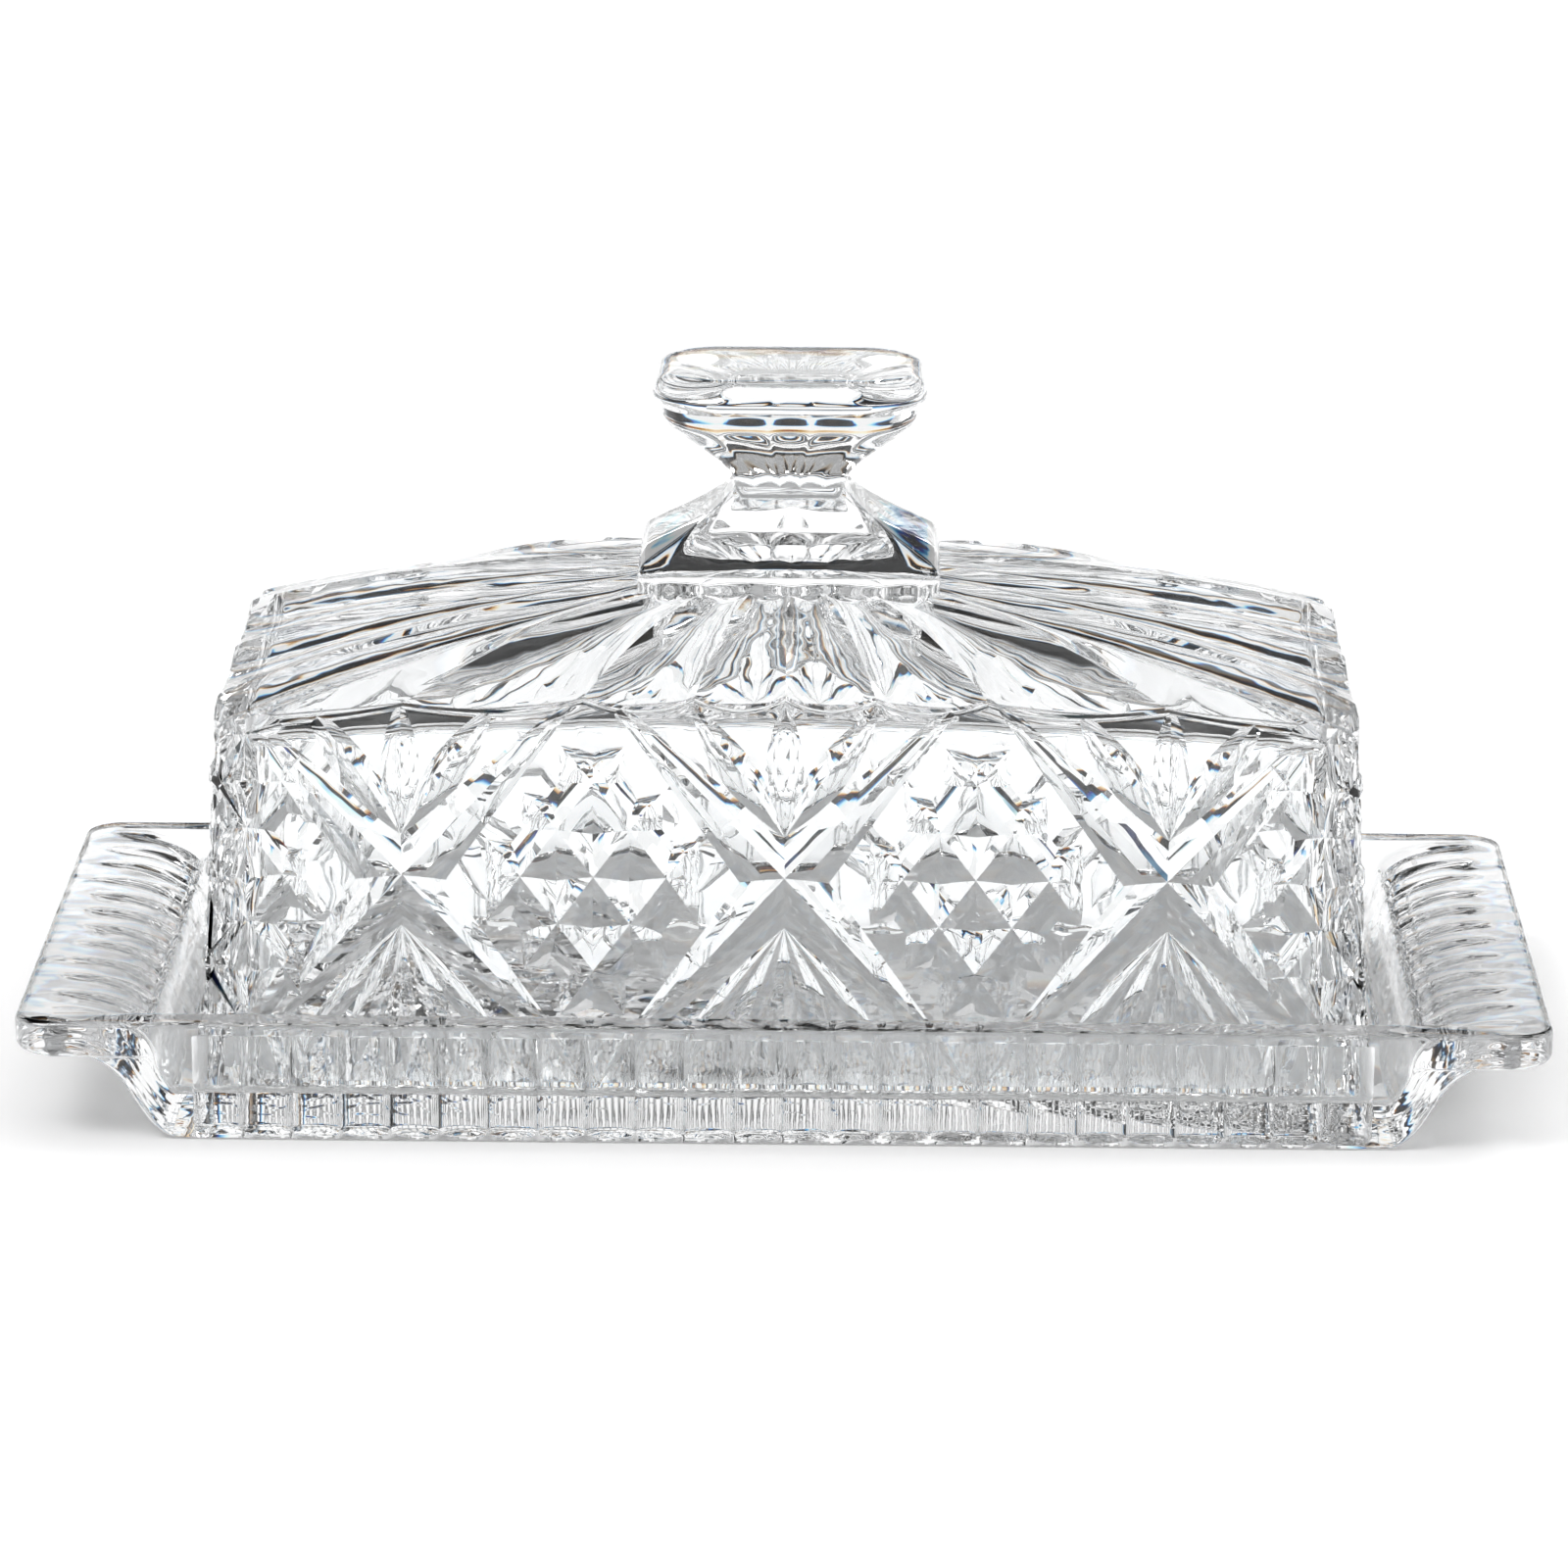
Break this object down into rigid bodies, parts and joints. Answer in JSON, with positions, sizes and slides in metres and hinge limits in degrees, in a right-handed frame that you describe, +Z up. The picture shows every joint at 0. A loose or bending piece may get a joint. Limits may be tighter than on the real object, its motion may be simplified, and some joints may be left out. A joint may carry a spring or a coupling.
{
  "type": "butter dish",
  "caption": "Pressed clear-glass butter dish: an oblong fluted tray with handle plates, and a lift-off cover with star and diamond pattern, radial fluted roof and knob.",
  "frame": {"origin": "centre of the tray's flat base, on the surface that it stands on", "axes": "+Z up, along the way the cover lifts; +X along the dish's length, towards one handle plate"},
  "size_m": [0.21, 0.097, 0.0985],
  "materials": {
    "clear_glass": "fire-polished, clear, colourless"
  },
  "bodies": {
    "tray": {"tray": "clear_glass"},
    "cover": {"cover": "clear_glass"}
  },
  "joints": [
    {"name": "cover_lift", "type": "slide", "parent": "tray", "child": "cover", "axis": [0, 0, 1], "range_m": [0, 0.12]}
  ]
}
